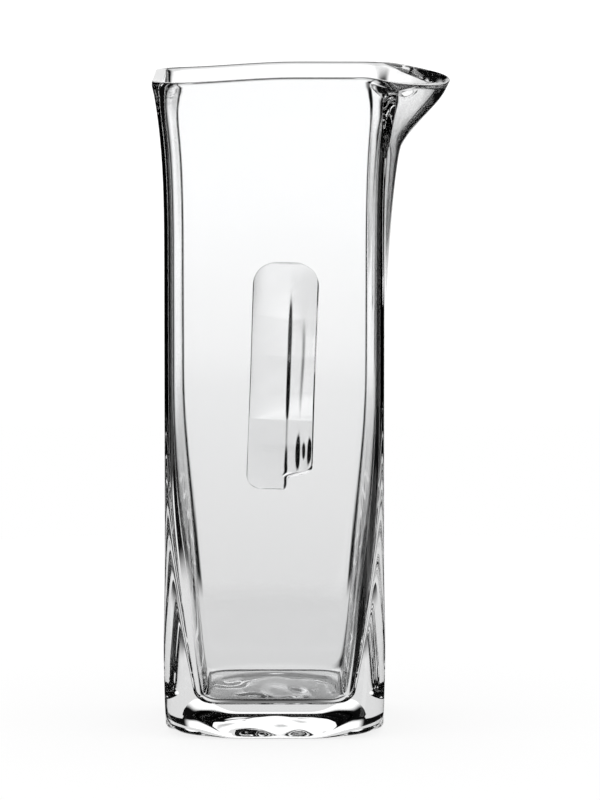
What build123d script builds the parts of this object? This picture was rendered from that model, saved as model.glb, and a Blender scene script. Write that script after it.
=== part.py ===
from build123d import *
import os
from math import cos, pi, sin, sqrt

# A hand-blown glass cocktail pitcher: a square vessel with round corners and a pulled spout, and a
# strap of glass fused to its back wall as the handle. Millimetres, +Z up, origin at the middle of
# the foot on the table. The spout points to +X and the handle to +Y.

# Vessel, outside
height = 254.0  # table to the highest point of the rim
body_width = 84.0  # across the flats, below the flare
corner_round = 10.0  # radius of the upright corners
foot_corner = 15.0  # the same at the table
foot_blend = 70.0  # the corners reach their even radius at this height
flare = 4.8  # how far the lip turns out past the body
flare_height = 74.0  # the flare starts this far below the rim
foot_round = 9.0  # rounding round the bottom edge

# Vessel, inside
wall = 2.9
lip_wall = 4.6
lip_depth = 18.0  # the wall thickens towards the lip over this height
rim_round = 2.1
cavity_corner = 7.0  # radius of the upright corners inside
foot_thickness = 11.6  # glass under the edge of the cavity floor
foot_wall = 12.6  # wall beside the cavity floor
foot_taper = 130.0  # the wall thins to its even thickness over this height
floor_round = 5.0  # rounding between the cavity wall and floor
floor_dome = 1.2  # the middle of the cavity floor stands up this much

# Hollow under the foot
punt_radius = 29.0
punt_depth = 3.0

# Spout
spout_reach = 21.7  # past the lip, at the height of the rim
spout_depth = 28.0  # the keel breaks out of the wall this far below the rim
spout_breadth = 95.0  # across the spout at the rim
swell = 5.8  # the wall has swelled this much where the keel breaks out
swell_height = 125.0  # and starts to swell this far below that
swell_breadth = 64.0
crest_power = 1.5  # how the spout fades into the side: more is narrower at the keel
channel_rise = 3.4  # keel of the pouring channel above an even offset of the outside

# Handle
strap_width = 26.0
strap_edge = 3.0  # thickness of the strap at its thin edge
web = 6.0  # and where the web runs into the thick edge
bead = 9.6  # diameter of the thick edge, on the spout side
groove_round = 1.5  # between the web and the thick edge
handle_shift = 3.0  # middle of the strap past the middle of the wall
handle_tilt = 1.9  # degrees, top towards the spout
handle_top = 173.0  # top of the tongue that is pressed on the wall
parting = 161.0  # the strap leaves the wall about here
elbow = 129.5  # and has come out to the grip here
heel = 110.5  # where it turns back
landing = 94.0  # and meets the wall again
handle_reach = 30.5  # middle of the grip from the wall
press = 0.5  # middle of the strap from the wall, where it is pressed on
parting_bend = 26.0
elbow_bend = 26.0
heel_bend = 14.0
landing_bend = 13.0
arch_round = 9.0  # corners of the tongue
bead_end = 88.5  # the thick edge stops here
tail_width = 16.4  # and the web runs on down the wall as a pressed tail
tail_end = 83.0
tail_round = 5.5
bead_end_round = 4.0

outline_points = 96
corner_crowd = 0.55  # outline points crowd towards the corners: 0 spaces them by even angles
round_steps = 4
cut_over = 0.6  # the cavity's form runs on this far above the rim, to cut clear of it
level_step = 12.0  # between the sections of a wall
half_body = body_width / 2
spout_root = height - spout_depth


def outer_half(z):
    climb = max(0, z - height + flare_height) / flare_height
    return half_body + flare * climb**3


def wall_at(z):
    below = max(0, foot_thickness + foot_taper - z) / foot_taper
    above = max(0, z - height + lip_depth) / lip_depth
    return wall + (foot_wall - wall) * below**2 + (lip_wall - wall) * above**2


def corner_at(z):
    low = max(0, foot_blend - z) / foot_blend
    return corner_round + (foot_corner - corner_round) * low**2


def spout_at(z):
    # How far the spout's keel stands out of the side, and half its breadth there.
    if z < spout_root:
        rise = max(0, z - spout_root + swell_height) / swell_height
        return swell * rise**2, swell_breadth / 2
    climb = (z - spout_root) / spout_depth
    keel = swell + (spout_reach - swell) * climb
    return keel, (swell_breadth + (spout_breadth - swell_breadth) * climb) / 2


def reach_at(angle, half_width, corner):
    # From the middle of a square with round corners to its edge.
    less, more = sorted((abs(cos(angle)), abs(sin(angle))))
    straight = half_width - corner
    if less * half_width < more * straight:
        return half_width / more
    return straight * (less + more) + sqrt(corner**2 - (straight * (more - less)) ** 2)


def section(z, half_width, corner, keel, half_breadth):
    # A square with round corners, and a rounded point pulled out of its +X side.
    points = []
    for step in range(outline_points):
        turn = 2 * pi * step / outline_points
        angle = turn + corner_crowd * sin(4 * turn) / 4
        reach = reach_at(angle, half_width, corner)
        x, y = reach * cos(angle), reach * sin(angle)
        if x > 0 and abs(y) < half_breadth:
            x += keel * (1 - (y / half_breadth) ** 2) ** crest_power
        points.append((x, y))
    return Pos(0, 0, z) * make_face(Spline(points, periodic=True))


def outer_section(z, inset=0):
    return section(z, outer_half(z) - inset, corner_at(z) - inset, *spout_at(z))


def cavity_section(z, inset=0):
    keel, half_breadth = spout_at(z - channel_rise)
    thick = wall_at(z)
    corner = cavity_corner - min(inset, 0)
    return section(z, outer_half(z) - thick - inset, corner, keel, half_breadth - thick)


def quarter_round(radius):
    # (climb, inset) round a quarter circle, from a flat face to an upright wall.
    turns = [pi / 2 * step / round_steps for step in range(round_steps + 1)]
    return [(radius * (1 - cos(turn)), radius * (1 - sin(turn))) for turn in turns]


def turned_out(depth):
    # (drop below the rim, inset) where the cavity spreads towards the rim, and on past it.
    drops = [depth - (depth + cut_over) * step / round_steps for step in range(round_steps + 1)]
    return [(drop, -depth * (1 - drop / depth) ** 2) for drop in drops]


def stacked(make_section, low, low_round, high, high_round):
    # A wall lofted through even levels, with rounded zones lofted below and above it.
    bottom = [make_section(low + climb, inset) for climb, inset in low_round]
    top = [make_section(high - drop, inset) for drop, inset in high_round]
    start = low + max(climb for climb, inset in low_round)
    stop = high - max(drop for drop, inset in high_round)
    steps = round((stop - start) / level_step)
    middle = [make_section(start + (stop - start) * step / steps) for step in range(steps + 1)]
    return loft(bottom) + loft(middle) + loft(top)


def cap_ball(radius, rise):
    # Radius of the ball that stands up by rise inside a circle.
    return (radius**2 + rise**2) / (2 * rise)


def outer_form():
    return stacked(outer_section, 0, quarter_round(foot_round), height, quarter_round(rim_round))


def cavity_form():
    rounded, spread = quarter_round(floor_round), turned_out(rim_round)
    hollow = stacked(cavity_section, foot_thickness, rounded, height, spread)
    floor_half = half_body - foot_wall - floor_round
    ball = cap_ball(floor_half, floor_dome)
    return hollow - Pos(0, 0, foot_thickness + floor_dome - ball) * Sphere(ball)


def vessel(outside):
    ball = cap_ball(punt_radius, punt_depth)
    return outside - cavity_form() - Pos(0, 0, punt_depth - ball) * Sphere(ball)


def strap_section():
    # A web that thins towards one edge, with a thick round edge on its spout side.
    left = (strap_edge - strap_width) / 2
    right = (strap_width - bead) / 2
    slim = Pos(left, 0) * CenterArc((0, 0), strap_edge / 2, 0, 360)
    full = Pos(right, 0) * CenterArc((0, 0), web / 2, 0, 360)
    strap = make_hull([slim, full]) + Pos(right, 0) * Circle(bead / 2)
    grooves = [v for v in strap.vertices() if v.X > 0 and abs(v.Y) > web / 4]
    return fillet(grooves, groove_round)


def strap():
    # Down the wall, out to the grip, back to the wall and down it again.
    on_wall = half_body + press
    grip = half_body + handle_reach
    path = FilletPolyline(
        (0, on_wall, handle_top),
        (0, on_wall, parting),
        (0, grip, elbow),
        (0, grip, heel),
        (0, on_wall, landing),
        (0, on_wall, tail_end),
        radius=[parting_bend, elbow_bend, heel_bend, landing_bend],
    )
    start = Plane(path @ 0, x_dir=(1, 0, 0), z_dir=path % 0)
    return sweep(start * strap_section(), path)


def front_outline():
    # The handle from the front: an arched top, the thick edge's end, and the longer tail of the web.
    left = -strap_width / 2
    middle = (handle_top + bead_end) / 2
    whole = Pos(0, middle) * Rectangle(strap_width, handle_top - bead_end)
    whole = fillet(whole.vertices().group_by(Axis.Y)[-1], arch_round)
    whole = fillet(whole.vertices().sort_by(Axis.X)[-1:], bead_end_round)
    tail = Pos(left + tail_width / 2, (middle + tail_end) / 2) * Rectangle(tail_width, middle - tail_end)
    return whole + fillet(tail.vertices().group_by(Axis.Y)[0], tail_round)


def handle(outside):
    room = half_body + handle_reach + bead
    trimmed = strap() & extrude(Plane.XZ * front_outline(), amount=-room)
    middle = (handle_top + tail_end) / 2
    tilted = Pos(handle_shift, 0, middle) * Rot(0, handle_tilt, 0) * Pos(0, 0, -middle) * trimmed
    return tilted - outside


os.makedirs("parts", exist_ok=True)
outside = outer_form()
for name, piece in (("vessel", vessel(outside)), ("handle", handle(outside))):
    print(name, piece.is_valid, len(piece.solids()), len(piece.faces()), piece.volume, piece.bounding_box())
    export_step(piece, f"parts/{name}.step")
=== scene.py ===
from math import cos, exp, hypot, pi, radians, sin, tan

import bpy
from mathutils import Matrix, Vector, noise


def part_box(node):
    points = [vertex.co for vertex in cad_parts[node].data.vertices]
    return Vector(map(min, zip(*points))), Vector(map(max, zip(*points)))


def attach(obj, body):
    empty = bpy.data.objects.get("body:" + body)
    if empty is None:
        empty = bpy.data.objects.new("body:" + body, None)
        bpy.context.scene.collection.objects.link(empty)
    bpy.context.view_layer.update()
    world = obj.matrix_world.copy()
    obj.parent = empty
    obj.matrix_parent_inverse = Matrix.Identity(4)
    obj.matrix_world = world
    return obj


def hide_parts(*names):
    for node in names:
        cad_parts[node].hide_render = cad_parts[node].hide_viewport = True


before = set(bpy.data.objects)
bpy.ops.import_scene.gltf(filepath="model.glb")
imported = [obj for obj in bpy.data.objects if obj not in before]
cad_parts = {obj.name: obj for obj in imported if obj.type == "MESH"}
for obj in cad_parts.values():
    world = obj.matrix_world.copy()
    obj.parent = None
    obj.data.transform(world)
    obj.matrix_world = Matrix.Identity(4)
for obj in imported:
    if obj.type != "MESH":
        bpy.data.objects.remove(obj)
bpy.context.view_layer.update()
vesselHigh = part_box("vessel")[1]
print("frame loaded:", sorted(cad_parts))

mm = 0.001


# Small helpers for working the way one does at the keyboard

def addRing(name, points, radius, place=(0, 0, 0)):
    bpy.ops.object.select_all(action="DESELECT")
    bpy.ops.mesh.primitive_circle_add(vertices=points, radius=radius, location=place)
    piece = bpy.context.object
    piece.name = name
    bpy.ops.object.transform_apply(location=True, rotation=True, scale=True)
    return piece


def editMode(on):
    bpy.ops.object.mode_set(mode="EDIT" if on else "OBJECT")


def pull(offset):
    bpy.ops.mesh.extrude_region_move(TRANSFORM_OT_translate={"value": offset})


def applyModifier(piece, kind, **settings):
    modifier = piece.modifiers.new(kind.lower(), kind)
    for key, value in settings.items():
        setattr(modifier, key, value)
    bpy.ops.object.modifier_apply(modifier=modifier.name)


def closeUp(piece):
    # merge what coincides, then turn every face outwards
    editMode(True)
    bpy.ops.mesh.select_all(action="SELECT")
    bpy.ops.mesh.remove_doubles(threshold=1e-6)
    bpy.ops.mesh.normals_make_consistent(inside=False)
    editMode(False)
    bpy.ops.object.shade_smooth()


def ripple(piece, name, size, depth, group):
    # shallow clouds, pressed into the surface and never out of it
    clouds = bpy.data.textures.new(name, "CLOUDS")
    clouds.noise_scale = size
    clouds.noise_depth = 1
    applyModifier(piece, "DISPLACE", texture=clouds, strength=depth, mid_level=1, vertex_group=group)


def smoothStep(low, high, value):
    t = min(1, max(0, (value - low) / (high - low)))
    return t * t * (3 - 2 * t)


# The vessel: one ring drawn up the outside, over the lip and down to the floor

vesselForm = {
    "ringPoints": 128,
    "cornerCrowd": 0.55,        # points crowd towards the corners
    "corner": 10 * mm,          # corner radius outside
    "footCorner": 15 * mm,      # the same at the table
    "footBlend": 70 * mm,       # from there up to the even radius
    "cavityCorner": 7 * mm,     # and inside
    "bodyHalf": 42 * mm,
    "flare": 4.55 * mm,
    "flareHeight": 74 * mm,
    "footRound": 9 * mm,        # rounding of the foot, at the corners
    "flatRound": 1.6 * mm,      # and along the middle of each side, which ends across this span
    "flatSpan": (15 * mm, 31 * mm),
    "wall": 2.9 * mm,
    "lipWall": 4.6 * mm,        # the wall thickens towards the lip over this depth
    "lipDepth": 18 * mm,
    "rimRound": 0.5 * mm,       # rounding of the lip, outside
    "cornerRim": 2.4 * mm,      # the same at the corners, which begin across this span
    "cornerSpan": (30 * mm, 40 * mm),
    "mouthRound": 1.5 * mm,     # and inside
    "footThickness": 11.6 * mm,
    "footWall": 12.6 * mm,      # the wall beside the floor thins out over this height
    "footTaper": 130 * mm,
    "floorRound": 5 * mm,
    "floorDome": 1.2 * mm,
    "puntRadius": 31 * mm,
    "puntStep": 0.9 * mm,       # the hollow steps up from the land, over this breadth
    "puntStepBreadth": 7 * mm,
    "puntDome": 0.5 * mm,
    "spoutReach": 21.8 * mm,
    "spoutDepth": 28 * mm,
    "spoutBreadth": 95 * mm,
    "crest": 1.5,               # more makes the spout narrower at its keel
    "blunt": 3 * mm,            # the tip stands upright over about this height
    "tipEase": 0.8,             # and the keel eases into it past this share of its climb
    "swell": 5.8 * mm,          # the wall swells below the spout
    "swellHeight": 125 * mm,
    "swellBreadth": 64 * mm,
    "channelRise": 3.4 * mm,    # keel of the channel above that of the spout
    "droop": 2.6 * mm,          # of the spout's tip
    "droopDepth": 45 * mm,
    "dip": 2.2 * mm,            # of the lip on the far side from the spout
    "dipStart": 8 * mm,
    "lean": 2.6 * mm,           # the near side of the spout's lip is lower than the far side
    "leanSpan": 22 * mm,        # from side to side, and outwards from the face of the wall
    "leanStart": (-8 * mm, 6 * mm),
    "pour": 4 * mm,             # the far side of that lip slopes in towards the channel
    "pourSpan": 11 * mm,
    "pourDepth": 9 * mm,
    "belly": 0.6 * mm,          # the body swells a little above the foot
    "bellyHeight": 32 * mm,
    "bellySpan": 22 * mm,
    "ripple": 0.12 * mm,        # the walls of blown glass aren't quite even
    "rippleSize": 45 * mm,
    "rippleLow": 120 * mm,
    "ragged": 5 * mm,           # the step wanders in and out
    "raggedSize": 9 * mm,
    "raggedNoise": (1, 2, 2),   # roughness, gap and number of octaves
    "crumple": 1.7 * mm,        # lumps in the hollow, longer from front to back
    "crumpleSize": (9 * mm, 14 * mm),
    "crumpleSlice": 0.3,
    "roundSteps": 6,
    "wallSteps": 36,
    "lipSteps": 16,
}
rim = vesselHigh.z


def outerHalf(z):
    f = vesselForm
    climb = max(0, z - rim + f["flareHeight"]) / f["flareHeight"]
    belly = f["belly"] * exp(-((z - f["bellyHeight"]) / f["bellySpan"])**2)
    return f["bodyHalf"] + f["flare"] * climb**3 + belly


def wallAt(z):
    f = vesselForm
    below = max(0, f["footThickness"] + f["footTaper"] - z) / f["footTaper"]
    above = max(0, z - rim + f["lipDepth"]) / f["lipDepth"]
    thicker = (f["footWall"] - f["wall"]) * below**2
    return f["wall"] + thicker + (f["lipWall"] - f["wall"]) * above**2


def cornerAt(z):
    f = vesselForm
    low = max(0, f["footBlend"] - z) / f["footBlend"]
    return f["corner"] + (f["footCorner"] - f["corner"]) * low**2


def spoutAt(z):
    # how far the keel stands out of the side, and half its breadth there
    f = vesselForm
    root = rim - f["spoutDepth"]
    if z < root:
        rise = max(0, z - root + f["swellHeight"]) / f["swellHeight"]
        return f["swell"] * rise**2, f["swellBreadth"] / 2
    climb = (z - root) / f["spoutDepth"]
    steep = climb * f["spoutDepth"] / (f["spoutDepth"] - f["blunt"])
    left = 1 - f["tipEase"]
    if steep > f["tipEase"]:
        steep = 1 - left * exp(-(steep - f["tipEase"]) / left)
    keel = f["swell"] + (f["spoutReach"] - f["swell"]) * steep
    return keel, (f["swellBreadth"] + (f["spoutBreadth"] - f["swellBreadth"]) * climb) / 2


def quarterRound(radius):
    # (climb, inset) round a quarter circle, from a flat face to an upright wall
    steps = vesselForm["roundSteps"]
    turns = [pi / 2 * step / steps for step in range(steps + 1)]
    return [(radius * (1 - cos(turn)), radius * (1 - sin(turn))) for turn in turns]


def vesselLevels():
    # (height, half width, corner radius, inside?) of every ring, from the foot to the cavity floor
    f = vesselForm
    shoulder = rim - f["flareHeight"]
    top = rim - f["rimRound"]
    floor = f["footThickness"] + f["floorRound"]

    def spread(low, high, steps):
        return [low + (high - low) * (step + 1) / steps for step in range(steps)]

    def outside(z, inset=0):
        return z, outerHalf(z) - inset, cornerAt(z) - inset, False

    def cavity(z, inset=0):
        return z, outerHalf(z) - wallAt(z) - inset, f["cavityCorner"] - min(inset, 0), True

    upwards = spread(shoulder, top, f["lipSteps"])
    lip = quarterRound(f["rimRound"])[:-1]
    mouth = quarterRound(f["mouthRound"])[:-1]
    bowl = quarterRound(f["floorRound"])
    levels = [outside(climb, inset) for climb, inset in quarterRound(f["footRound"])]
    levels += [outside(z) for z in spread(f["footRound"], shoulder, f["wallSteps"]) + upwards]
    levels += [outside(rim - climb, inset) for climb, inset in reversed(lip)]
    levels += [cavity(rim - climb, -inset) for climb, inset in mouth]
    inner = spread(shoulder, rim - f["mouthRound"], f["lipSteps"])
    levels += [cavity(z) for z in reversed(spread(floor, shoulder, f["wallSteps"]) + inner)]
    levels += [cavity(f["footThickness"] + climb, inset) for climb, inset in reversed(bowl)]
    return levels


def tightenFoot(step, x, y, z):
    # the foot is rounded less along the middle of each side than at the corners
    f = vesselForm
    flat = 1 - smoothStep(*f["flatSpan"], min(abs(x), abs(y)))
    turn = pi / 2 * step / f["roundSteps"]
    less = (f["footRound"] - f["flatRound"]) * flat
    out = 1 + less * (1 - sin(turn)) / max(abs(x), abs(y))
    x, y = (x * out, y) if abs(x) > abs(y) else (x, y * out)
    return x, y, z - less * (1 - cos(turn))


def roundLip(step, x, y, z):
    # the lip is rounded more at the corners
    f = vesselForm
    turn = pi / 2 * step / f["roundSteps"]
    more = (f["cornerRim"] - f["rimRound"]) * smoothStep(*f["cornerSpan"], min(abs(x), abs(y)))
    draw = 1 - more * (1 - sin(turn)) / hypot(x, y)
    return x * draw, y * draw, z - more * (1 - cos(turn))


def squareUp(piece, levels):
    # every ring becomes a square with round corners, with its points crowded towards the corners
    f = vesselForm
    count = f["ringPoints"]
    lipEnd = [inside for z, half, corner, inside in levels].index(True) - 1
    for row, (z, half, corner, inside) in enumerate(levels):
        straight = half - corner
        for index in range(count):
            around = 2 * pi * index / count
            angle = around + f["cornerCrowd"] * sin(4 * around) / 4
            across, along = sorted((abs(cos(angle)), abs(sin(angle))))
            if across * half < along * straight:
                reach = half / along
            else:
                lean = straight * (along - across)
                reach = straight * (across + along) + (corner**2 - lean**2)**0.5
            spot = reach * cos(angle), reach * sin(angle), z
            if row <= f["roundSteps"]:
                spot = tightenFoot(row, *spot)
            elif 0 <= lipEnd - row <= f["roundSteps"]:
                spot = roundLip(lipEnd - row, *spot)
            piece.data.vertices[row * count + index].co = spot


def pullSpout(piece, levels):
    # a rounded point pulled out of the +X side, on the outside and on the inside
    f = vesselForm
    count = f["ringPoints"]
    for row, (z, half, corner, inside) in enumerate(levels):
        if inside:
            keel, breadth = spoutAt(z - f["channelRise"])
            breadth -= wallAt(z)
        else:
            keel, breadth = spoutAt(z)
        for vertex in piece.data.vertices[row * count:(row + 1) * count]:
            x, y = vertex.co.x, vertex.co.y
            if x > 0 and abs(y) < breadth:
                vertex.co.x = x + keel * (1 - (y / breadth)**2)**f["crest"]


def loosen(piece, levels):
    # worked by hand: the spout's lip droops, leans and slopes in, and the lip dips opposite to it
    f = vesselForm
    count = f["ringPoints"]
    face = f["bodyHalf"]
    leanFrom, leanTo = f["leanStart"]
    for index, vertex in enumerate(piece.data.vertices[:count * len(levels)]):
        x, y, z = vertex.co
        near = smoothStep(rim - f["droopDepth"], rim, z)
        tip = smoothStep(face, face + f["flare"] + f["spoutReach"], x)
        side = smoothStep(face + leanFrom, face + leanTo, x)
        side *= smoothStep(f["leanSpan"], -f["leanSpan"], y)
        dip = smoothStep(f["dipStart"], -face, x)
        drop = near * (f["droop"] * tip + f["lean"] * side + f["dip"] * dip)
        inside = levels[index // count][3]
        if inside:
            far = smoothStep(-f["pourSpan"], f["pourSpan"], y)
            drop += f["pour"] * far * tip**0.5 * smoothStep(rim - f["pourDepth"], rim, z)
        vertex.co.z -= drop


def buildVessel():
    f = vesselForm
    levels = vesselLevels()
    piece = addRing("vessel_glass", f["ringPoints"], 1)
    low, half = levels[0][:2]
    editMode(True)
    bpy.ops.mesh.select_all(action="SELECT")
    bpy.ops.transform.resize(value=(half, half, 1), center_override=(0, 0, 0))
    for z, nextHalf, corner, inside in levels[1:]:
        pull((0, 0, z - low))
        grow = nextHalf / half
        bpy.ops.transform.resize(value=(grow, grow, 1), center_override=(0, 0, z))
        low, half = z, nextHalf
    editMode(False)
    squareUp(piece, levels)
    pullSpout(piece, levels)

    # close the cavity floor and the foot with square patches
    count = f["ringPoints"]
    for row in (len(levels) - 1, 0):
        editMode(True)
        bpy.ops.mesh.select_all(action="DESELECT")
        bpy.ops.mesh.select_mode(type="VERT")
        editMode(False)
        for vertex in piece.data.vertices[row * count:(row + 1) * count]:
            vertex.select = True
        editMode(True)
        bpy.ops.mesh.select_mode(type="EDGE")
        bpy.ops.mesh.fill_grid(span=count // 4, offset=count // 8)
        editMode(False)

    # the floor stands up a little in its middle, and the foot is hollowed underneath
    ringVertices = count * len(levels)
    floorHalf = levels[-1][1]
    for vertex in piece.data.vertices[ringVertices:]:
        reach = Vector((vertex.co.x, vertex.co.y)).length
        if vertex.co.z > f["footThickness"] / 2:
            vertex.co.z += f["floorDome"] * max(0, 1 - (reach / floorHalf)**2)
        elif reach < f["puntRadius"]:
            x, y = vertex.co.x, vertex.co.y
            share = reach / f["puntRadius"]
            wander = noise.fractal(Vector((x, y, 0)) / f["raggedSize"], *f["raggedNoise"])
            inward = f["puntRadius"] - reach + f["ragged"] * wander * share
            step = smoothStep(0, f["puntStepBreadth"], inward)
            across, deep = f["crumpleSize"]
            lump = noise.noise(Vector((x / across, y / deep, f["crumpleSlice"])))
            dome = f["puntDome"] * (1 - share**2)
            vertex.co.z += step * max(0, f["puntStep"] + f["crumple"] * lump + dome)
    loosen(piece, levels)
    upper = piece.vertex_groups.new(name="upper_walls")
    for vertex in piece.data.vertices:
        upper.add([vertex.index], smoothStep(f["rippleLow"], rim, vertex.co.z), "REPLACE")
    closeUp(piece)
    applyModifier(piece, "SUBSURF", levels=1, render_levels=1)
    ripple(piece, "ripple", f["rippleSize"], f["ripple"], "upper_walls")
    print("vessel:", len(piece.data.vertices), "points")
    return piece


# The handle: a strap with a thick edge, pressed on the wall, drawn out to a grip and back to the wall

handleForm = {
    "ringPoints": 96,
    "strapWidth": 26 * mm,
    "thinEdge": 0.2 * mm,       # thickness at the thin edge
    "feather": 20 * mm,         # the web thickens over this from there
    "web": 4.2 * mm,
    "bead": 6.2 * mm,           # thickness of the thick edge
    "beadWidth": 10 * mm,
    "beadRise": 1.15,           # it is full before its outer edge: 1 would be right at it
    "beadEdge": 0.4 * mm,       # rounding of that edge
    "crease": 1.1 * mm,         # step where the web meets it
    "creaseWidth": 1.2 * mm,
    "shift": 3 * mm,            # middle of the strap past the middle of the wall
    "tilt": 1.9,                # degrees, top towards the spout
    "top": 175 * mm,
    "parting": 161 * mm,        # the strap leaves the wall
    "elbow": 129.5 * mm,        # comes out to the grip
    "heel": 110.5 * mm,         # turns back
    "landing": 94 * mm,         # and meets the wall again
    "tailEnd": 83 * mm,
    "reach": 30.3 * mm,
    "press": 2.15 * mm,         # middle of the web from the wall, so its flat side lies against it
    "bends": (26 * mm, 26 * mm, 14 * mm, 13 * mm),
    "rowGap": 1.2 * mm,
    "bendSteps": 18,
    "crisp": 0.15 * mm,         # a last row this close to each end keeps its edge sharp
    "archRound": 9 * mm,
    "beadStart": 30 * mm,       # the thick edge grows out of the web over this, from the top
    "beadEnd": 88.5 * mm,
    "beadEndRound": 4 * mm,
    "tailWidth": 16.4 * mm,
    "tailRound": 5.5 * mm,
    "taper": 0.75,              # the glass draws out to this share of its thickness at the tail
    "ridge": 0.4 * mm,          # drawn ridges along the thick edge
    "ridgeSize": (2.6 * mm, 45 * mm),
    "reliefWidth": 6 * mm,      # ridges and fold are full within this of its outer edge
    "film": 0.05 * mm,          # the glass is nowhere thinner
    "fold": 0.9 * mm,           # the glass folds up where the thick edge lands
    "foldHeight": 97 * mm,
    "foldSpan": 4.5 * mm,
    "foldGap": 5 * mm,
    "smoothAngle": 40,          # degrees, sharper edges stay crisp
}


def strapThick(x, share):
    # thickness across the strap: a feathered web, and so much of the thick edge past a crease
    f = handleForm
    fromThin, fromThick = x + f["strapWidth"] / 2, f["strapWidth"] / 2 - x
    thin = max(0, 1 - fromThin / f["feather"])
    thick = f["thinEdge"] + (f["web"] - f["thinEdge"]) * (1 - thin**2)
    into = 1 - min(1, fromThick / f["beadWidth"])
    thick += share * (f["bead"] - f["web"]) * sin(pi * min(1, into * f["beadRise"]) / 2)**2
    past = smoothStep(f["beadWidth"] + f["creaseWidth"], f["beadWidth"], fromThick)
    thick += share * f["crease"] * past
    near = max(0, 1 - fromThick / f["beadEdge"])
    return thick * (1 - near**2)**0.5 * min(1, max(0, fromThin / f["thinEdge"]))**0.5


def buildHandle():
    f = handleForm
    count = f["ringPoints"]
    wallFace = vesselForm["bodyHalf"]
    onWall, grip = wallFace + f["press"], wallFace + f["reach"]
    places = ((onWall, f["top"]), (onWall, f["parting"]), (grip, f["elbow"]),
              (grip, f["heel"]), (onWall, f["landing"]), (onWall, f["tailEnd"]))
    route = [Vector(place) for place in places]
    legs = [(b - a).normalized() for a, b in zip(route, route[1:])]

    # the strap's outline lies flat at the top of the route
    half = f["strapWidth"] / 2
    piece = addRing("handle_glass", count, half)
    for index, vertex in enumerate(piece.data.vertices):
        angle = 2 * pi * index / count
        x = half * cos(angle)
        thick = f["web"] if sin(angle) > 0 else 0
        vertex.co = (x, onWall + thick - f["web"] / 2, f["top"])

    # and is drawn along it, straight and round the bends
    editMode(True)
    bpy.ops.mesh.select_all(action="SELECT")
    here = route[0]
    for corner, radius in enumerate((*f["bends"], 0), start=1):
        leg = legs[corner - 1]
        turn = leg.angle_signed(legs[corner]) if radius else 0
        cut = radius * tan(abs(turn) / 2)
        run = (route[corner] - here).length - cut
        steps = max(1, round(run / f["rowGap"]))
        stops = [run * step / steps for step in range(steps + 1)]
        if corner == 1:
            stops.insert(1, f["crisp"])
        elif not radius:
            stops.insert(-1, run - f["crisp"])
        for before, after in zip(stops, stops[1:]):
            pull((0, leg.x * (after - before), leg.y * (after - before)))
        if radius:
            side = 1 if turn > 0 else -1
            bend = route[corner] - leg * cut + Vector((leg.y, -leg.x)) * radius * side
            bpy.ops.mesh.spin(steps=f["bendSteps"], angle=abs(turn),
                              axis=(side, 0, 0), center=(0, bend.x, bend.y))
            here = route[corner] + legs[corner] * cut
    editMode(False)

    # the far side follows the near side at a level distance, so the strap is clear to look through
    ridgeAcross, ridgeAlong = f["ridgeSize"]
    for row in range(len(piece.data.vertices) // count):
        ring = piece.data.vertices[row * count:(row + 1) * count]
        base = ring[count * 3 // 4].co.copy()
        down, up = f["top"] - base.z, base.z - f["tailEnd"]
        isTop = down < up
        fromEnd = max(0, min(down, up))
        thin = f["taper"] + (1 - f["taper"]) * up / (f["top"] - f["tailEnd"])
        corner = f["archRound"] if isTop else f["tailRound"]
        draw = corner - max(0, corner**2 - max(0, corner - fromEnd)**2)**0.5
        fold = f["fold"] * exp(-((base.z - f["foldHeight"]) / f["foldSpan"])**2)
        past = min(1, max(0, 1 - (base.z - f["beadEnd"]) / f["beadEndRound"]))
        right = f["tailWidth"] - half + (f["strapWidth"] - f["tailWidth"]) * (1 - past**2)**0.5
        share = smoothStep(0, f["beadStart"], down)
        for index, vertex in enumerate(ring):
            x = vertex.co.x * (half - draw) / half
            x *= right / half if x > 0 else 1
            vertex.co.x = x
            if 0 < index < count // 2:
                onBead = share * smoothStep(f["beadWidth"], f["reliefWidth"], half - x)
                ridge = noise.noise(Vector((x / ridgeAcross, base.z / ridgeAlong, 0)))
                wave = cos(2 * pi * (half - x) / f["foldGap"])
                relief = onBead * (f["ridge"] * ridge + fold * wave)
                thick = max(f["film"], strapThick(x, share) * thin + relief)
                vertex.co.y, vertex.co.z = base.y + thick, base.z

    tilt = Matrix.Rotation(radians(f["tilt"]), 4, "Y")
    middle = Matrix.Translation((0, 0, (f["top"] + f["tailEnd"]) / 2))
    piece.data.transform(Matrix.Translation((f["shift"], 0, 0)) @ middle @ tilt @ middle.inverted())

    # close both ends
    editMode(True)
    bpy.ops.mesh.select_all(action="DESELECT")
    bpy.ops.mesh.select_mode(type="EDGE")
    bpy.ops.mesh.select_non_manifold()
    bpy.ops.mesh.edge_face_add()
    editMode(False)
    closeUp(piece)
    applyModifier(piece, "SUBSURF", levels=1, render_levels=1)
    bpy.ops.object.shade_smooth_by_angle(angle=radians(f["smoothAngle"]))
    print("handle:", len(piece.data.vertices), "points")
    return piece


# Glass

glassLook = {
    "ior": 1.5,
    "detail": 1,                # of all the noise
    "tint": (0.985, 0.99, 0.995, 1),
    "tintSize": 18,             # noise scale, per metre
    "haze": 0.012,              # roughness of the hazier patches
    "hazeEdges": (0.5, 0.8),    # noise values that they set in between
    "hazeSize": 40,
    "wave": 0.010 * mm,         # bump height
    "waveSize": 28,
}


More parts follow.
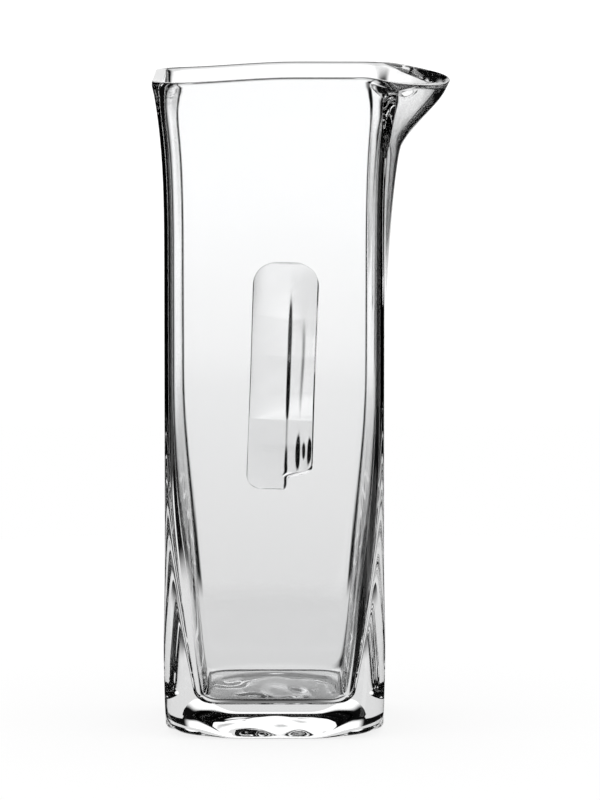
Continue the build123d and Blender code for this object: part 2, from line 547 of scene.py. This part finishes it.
def newHandMade():
    # shared by both pieces: tint, haze and waviness of hand-worked glass
    group = bpy.data.node_groups.new("hand_made_glass", "ShaderNodeTree")
    for name, kind in (("Tint", "Color"), ("Haze", "Float"), ("Normal", "Vector")):
        group.interface.new_socket(name, in_out="OUTPUT", socket_type="NodeSocket" + kind)
    output = group.nodes.new("NodeGroupOutput")
    place = group.nodes.new("ShaderNodeTexCoord")

    def cloud(scale):
        made = group.nodes.new("ShaderNodeTexNoise")
        made.inputs["Scale"].default_value = scale
        made.inputs["Detail"].default_value = glassLook["detail"]
        group.links.new(place.outputs["Object"], made.inputs["Vector"])
        return made.outputs["Fac"]

    tint = group.nodes.new("ShaderNodeMix")
    tint.data_type = "RGBA"
    group.links.new(cloud(glassLook["tintSize"]), tint.inputs["Factor"])
    tint.inputs["A"].default_value = (1, 1, 1, 1)
    tint.inputs["B"].default_value = glassLook["tint"]
    haze = group.nodes.new("ShaderNodeMapRange")
    group.links.new(cloud(glassLook["hazeSize"]), haze.inputs["Value"])
    hazeFrom, hazeTo = glassLook["hazeEdges"]
    haze.inputs["From Min"].default_value = hazeFrom
    haze.inputs["From Max"].default_value = hazeTo
    haze.inputs["To Max"].default_value = glassLook["haze"]
    bump = group.nodes.new("ShaderNodeBump")
    bump.inputs["Distance"].default_value = glassLook["wave"]
    group.links.new(cloud(glassLook["waveSize"]), bump.inputs["Height"])
    group.links.new(tint.outputs["Result"], output.inputs["Tint"])
    group.links.new(haze.outputs["Result"], output.inputs["Haze"])
    group.links.new(bump.outputs["Normal"], output.inputs["Normal"])
    return group


def newGlass(name, handMade):
    glass = bpy.data.materials.new(name)
    glass.use_nodes = True
    tree = glass.node_tree
    shader = tree.nodes["Principled BSDF"]
    shader.inputs["IOR"].default_value = glassLook["ior"]
    shader.inputs["Transmission Weight"].default_value = 1
    worked = tree.nodes.new("ShaderNodeGroup")
    worked.node_tree = handMade
    tree.links.new(worked.outputs["Tint"], shader.inputs["Base Color"])
    tree.links.new(worked.outputs["Haze"], shader.inputs["Roughness"])
    tree.links.new(worked.outputs["Normal"], shader.inputs["Normal"])
    print("glass:", name)
    return glass


# Studio: a bright panel behind, dark all round but for small windows, and a pale floor

studio = {
    "back": (15, 8),                # the panel behind fades in from the first azimuth to the second
    # windows that the other views look out through: azimuth, and sines of lowest and highest elevation
    "windows": ((-90, -0.20, 0.10), (-45, -0.58, -0.28), (135, -0.42, -0.14)),
    "windowFade": (10, 5),
    "windowSoft": 0.03,
    "dark": 0.004,
    "glow": 1.18,
    # greys of the panel behind: sine of the elevation and grey
    "tones": ((-0.75, 0.02), (-0.55, 0.15), (-0.45, 0.5), (-0.38, 0.66), (-0.28, 0.70), (-0.22, 0.75),
              (-0.16, 0.80), (-0.132, 0.83), (-0.115, 0.89), (-0.09, 1.0), (0.42, 1.0), (0.58, 0.01)),
}


def join(tree, source, socket):
    if isinstance(source, (int, float)):
        socket.default_value = source
    else:
        tree.links.new(source, socket)


def addMath(tree, operation, *values):
    made = tree.nodes.new("ShaderNodeMath")
    made.operation = operation
    for value, socket in zip(values, made.inputs):
        join(tree, value, socket)
    return made.outputs[0]


def addEase(tree, value, edges, low=0.0, high=1.0):
    made = tree.nodes.new("ShaderNodeMapRange")
    made.interpolation_type = "SMOOTHSTEP"
    for source, socket in zip((value, *edges, low, high), made.inputs):
        join(tree, source, socket)
    return made.outputs["Result"]


def addSector(tree, azimuth, middle, fade):
    # 1 round this azimuth, and 0 past the first of the two angles from it
    away = addMath(tree, "COSINE", addMath(tree, "SUBTRACT", azimuth, radians(middle)))
    return addEase(tree, away, [cos(radians(angle)) for angle in fade])


def buildWorld():
    world = bpy.data.worlds.new("studio")
    bpy.context.scene.world = world
    world.use_nodes = True
    tree = world.node_tree
    tree.nodes.clear()

    place = tree.nodes.new("ShaderNodeTexCoord")
    split = tree.nodes.new("ShaderNodeSeparateXYZ")
    tree.links.new(place.outputs["Generated"], split.inputs[0])
    azimuth = addMath(tree, "ARCTAN2", split.outputs["X"], split.outputs["Y"])
    height = split.outputs["Z"]

    # the panel behind and the windows
    back = addSector(tree, azimuth, 0, studio["back"])
    windows = studio["dark"]
    for middle, low, high in studio["windows"]:
        above = addEase(tree, height, (low - studio["windowSoft"], low))
        below = addEase(tree, height, (high, high + studio["windowSoft"]), 1.0, 0.0)
        window = addSector(tree, azimuth, middle, studio["windowFade"])
        window = addMath(tree, "MULTIPLY", window, addMath(tree, "MULTIPLY", above, below))
        windows = addMath(tree, "MAXIMUM", windows, window)

    # the ramp runs from straight down to straight up
    tone = tree.nodes.new("ShaderNodeValToRGB")
    tree.links.new(addMath(tree, "MULTIPLY_ADD", height, 0.5, 0.5), tone.inputs["Fac"])
    stops = tone.color_ramp.elements
    while len(stops) < len(studio["tones"]):
        stops.new(0.5)
    for stop, (sine, grey) in zip(stops, studio["tones"]):
        stop.position = (sine + 1) / 2
        stop.color = (grey, grey, grey, 1)
    back = addMath(tree, "MULTIPLY", back, tone.outputs["Color"])
    back = addMath(tree, "MULTIPLY", back, studio["glow"])
    shade = addMath(tree, "MAXIMUM", back, windows)

    # the camera and the floor see plain white
    path = tree.nodes.new("ShaderNodeLightPath")
    plain = addMath(tree, "MAXIMUM", path.outputs["Is Camera Ray"], path.outputs["Is Diffuse Ray"])
    background = tree.nodes.new("ShaderNodeBackground")
    tree.links.new(addMath(tree, "MAXIMUM", shade, plain), background.inputs["Color"])
    output = tree.nodes.new("ShaderNodeOutputWorld")
    tree.links.new(background.outputs[0], output.inputs["Surface"])
    print("studio:", len(studio["windows"]), "windows")


floorLook = {
    "points": 64,
    "radius": 0.5,
    "drop": 0.2 * mm,               # below the foot
    "diffuse": 0.2,
    "glow": 0.82,
    "shade": (30 * mm, 36 * mm),    # the painted shade right under the foot ends here
    "shadeGrey": 0.24,
    "lit": (46 * mm, 56 * mm),      # the painted lit table round it here
    "litGrey": 0.88,
    "far": (170 * mm, 220 * mm),    # and the greyer table past that here
    "farGrey": 0.78,
    # the greyer table only shows in these sectors: azimuth, and where it fades in from and to
    "sectors": ((0, 34, 24), (-90, 28, 20), (-45, 28, 20), (135, 28, 20)),
    "front": (-31 * mm, -25 * mm),  # in front of the foot the painted lit ring lies in a painted shadow
    "frontLeft": 0.05,
}


def buildFloor():
    f = floorLook
    floor = addRing("floor", f["points"], f["radius"], place=(0, 0, -f["drop"]))
    editMode(True)
    bpy.ops.mesh.select_all(action="SELECT")
    bpy.ops.mesh.edge_face_add()
    editMode(False)
    paint = bpy.data.materials.new("pale_floor")
    paint.use_nodes = True
    tree = paint.node_tree
    tree.nodes.clear()
    diffuse = tree.nodes.new("ShaderNodeBsdfDiffuse")
    diffuse.inputs["Color"].default_value = (f["diffuse"],) * 3 + (1,)
    glow = tree.nodes.new("ShaderNodeEmission")
    glow.inputs["Strength"].default_value = f["glow"]
    both = tree.nodes.new("ShaderNodeAddShader")
    tree.links.new(diffuse.outputs[0], both.inputs[0])
    tree.links.new(glow.outputs[0], both.inputs[1])

    # through the glass it shows as rings of grey round the foot, painted shade and painted light:
    # painted shade under the foot, a painted lit ring round it and a painted shadow in front of it,
    # and past them the studio
    place = tree.nodes.new("ShaderNodeTexCoord")
    reach = tree.nodes.new("ShaderNodeVectorMath")
    reach.operation = "LENGTH"
    tree.links.new(place.outputs["Object"], reach.inputs[0])
    out = reach.outputs["Value"]
    split = tree.nodes.new("ShaderNodeSeparateXYZ")
    tree.links.new(place.outputs["Object"], split.inputs[0])
    azimuth = addMath(tree, "ARCTAN2", split.outputs["X"], split.outputs["Y"])

    # painted shade under the foot, rising to a painted lit ring, then greyer past it
    paintedLightAndShade = addMath(tree, "ADD", addEase(tree, out, f["shade"], f["shadeGrey"], f["litGrey"]),
                    addEase(tree, out, f["lit"], 0.0, f["farGrey"] - f["litGrey"]))
    pastRing = addEase(tree, out, f["lit"])
    # painted shadow in front of the foot, lifted again past the lit ring
    shadow = addEase(tree, split.outputs["Y"], f["front"], f["frontLeft"], 1.0)
    shadow = addMath(tree, "MAXIMUM", shadow, pastRing)
    # the painted shade and light on the table glow as emission
    table = tree.nodes.new("ShaderNodeEmission")
    tree.links.new(addMath(tree, "MULTIPLY", paintedLightAndShade, shadow), table.inputs["Strength"])
    seen = 0.0
    for middle, *fade in f["sectors"]:
        seen = addMath(tree, "MAXIMUM", seen, addSector(tree, azimuth, middle, fade))
    unseen = addMath(tree, "MULTIPLY", addMath(tree, "SUBTRACT", 1.0, seen), pastRing)
    unseen = addMath(tree, "MAXIMUM", unseen, addEase(tree, out, f["far"]))
    clear = tree.nodes.new("ShaderNodeBsdfTransparent")
    under = tree.nodes.new("ShaderNodeMixShader")
    tree.links.new(unseen, under.inputs["Fac"])
    tree.links.new(table.outputs[0], under.inputs[1])
    tree.links.new(clear.outputs[0], under.inputs[2])
    path = tree.nodes.new("ShaderNodeLightPath")
    pick = tree.nodes.new("ShaderNodeMixShader")
    tree.links.new(path.outputs["Is Transmission Ray"], pick.inputs["Fac"])
    tree.links.new(both.outputs[0], pick.inputs[1])
    tree.links.new(under.outputs[0], pick.inputs[2])
    output = tree.nodes.new("ShaderNodeOutputMaterial")
    tree.links.new(pick.outputs[0], output.inputs["Surface"])
    floor.data.materials.append(paint)
    floor.visible_glossy = False
    print("floor:", len(f["sectors"]), "sectors")


cameraSetup = {
    "place": (0.0098, -2.273, 0.407),
    "aim": (0.0098, 0, 0.1257),
    "lens": 266.2,
    "sensor": 36,
}


def buildCamera():
    data = bpy.data.cameras.new("camera")
    camera = bpy.data.objects.new("camera", data)
    bpy.context.scene.collection.objects.link(camera)
    place, aim = Vector(cameraSetup["place"]), Vector(cameraSetup["aim"])
    camera.location = place
    camera.rotation_euler = (aim - place).to_track_quat("-Z", "Y").to_euler()
    data.lens = cameraSetup["lens"]
    data.sensor_width = cameraSetup["sensor"]
    bpy.context.scene.camera = camera
    print("camera:", data.lens, "mm")


vessel = buildVessel()
handle = buildHandle()
handMade = newHandMade()
for piece, node in ((vessel, "vessel"), (handle, "handle")):
    piece.data.materials.append(newGlass("clear_glass_" + node, handMade))
    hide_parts(node)
    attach(piece, "root")
buildWorld()
buildFloor()
buildCamera()

scene = bpy.context.scene
scene.view_settings.view_transform = "Standard"
scene.cycles.max_bounces = 32
scene.cycles.glossy_bounces = 16
scene.cycles.transmission_bounces = 32
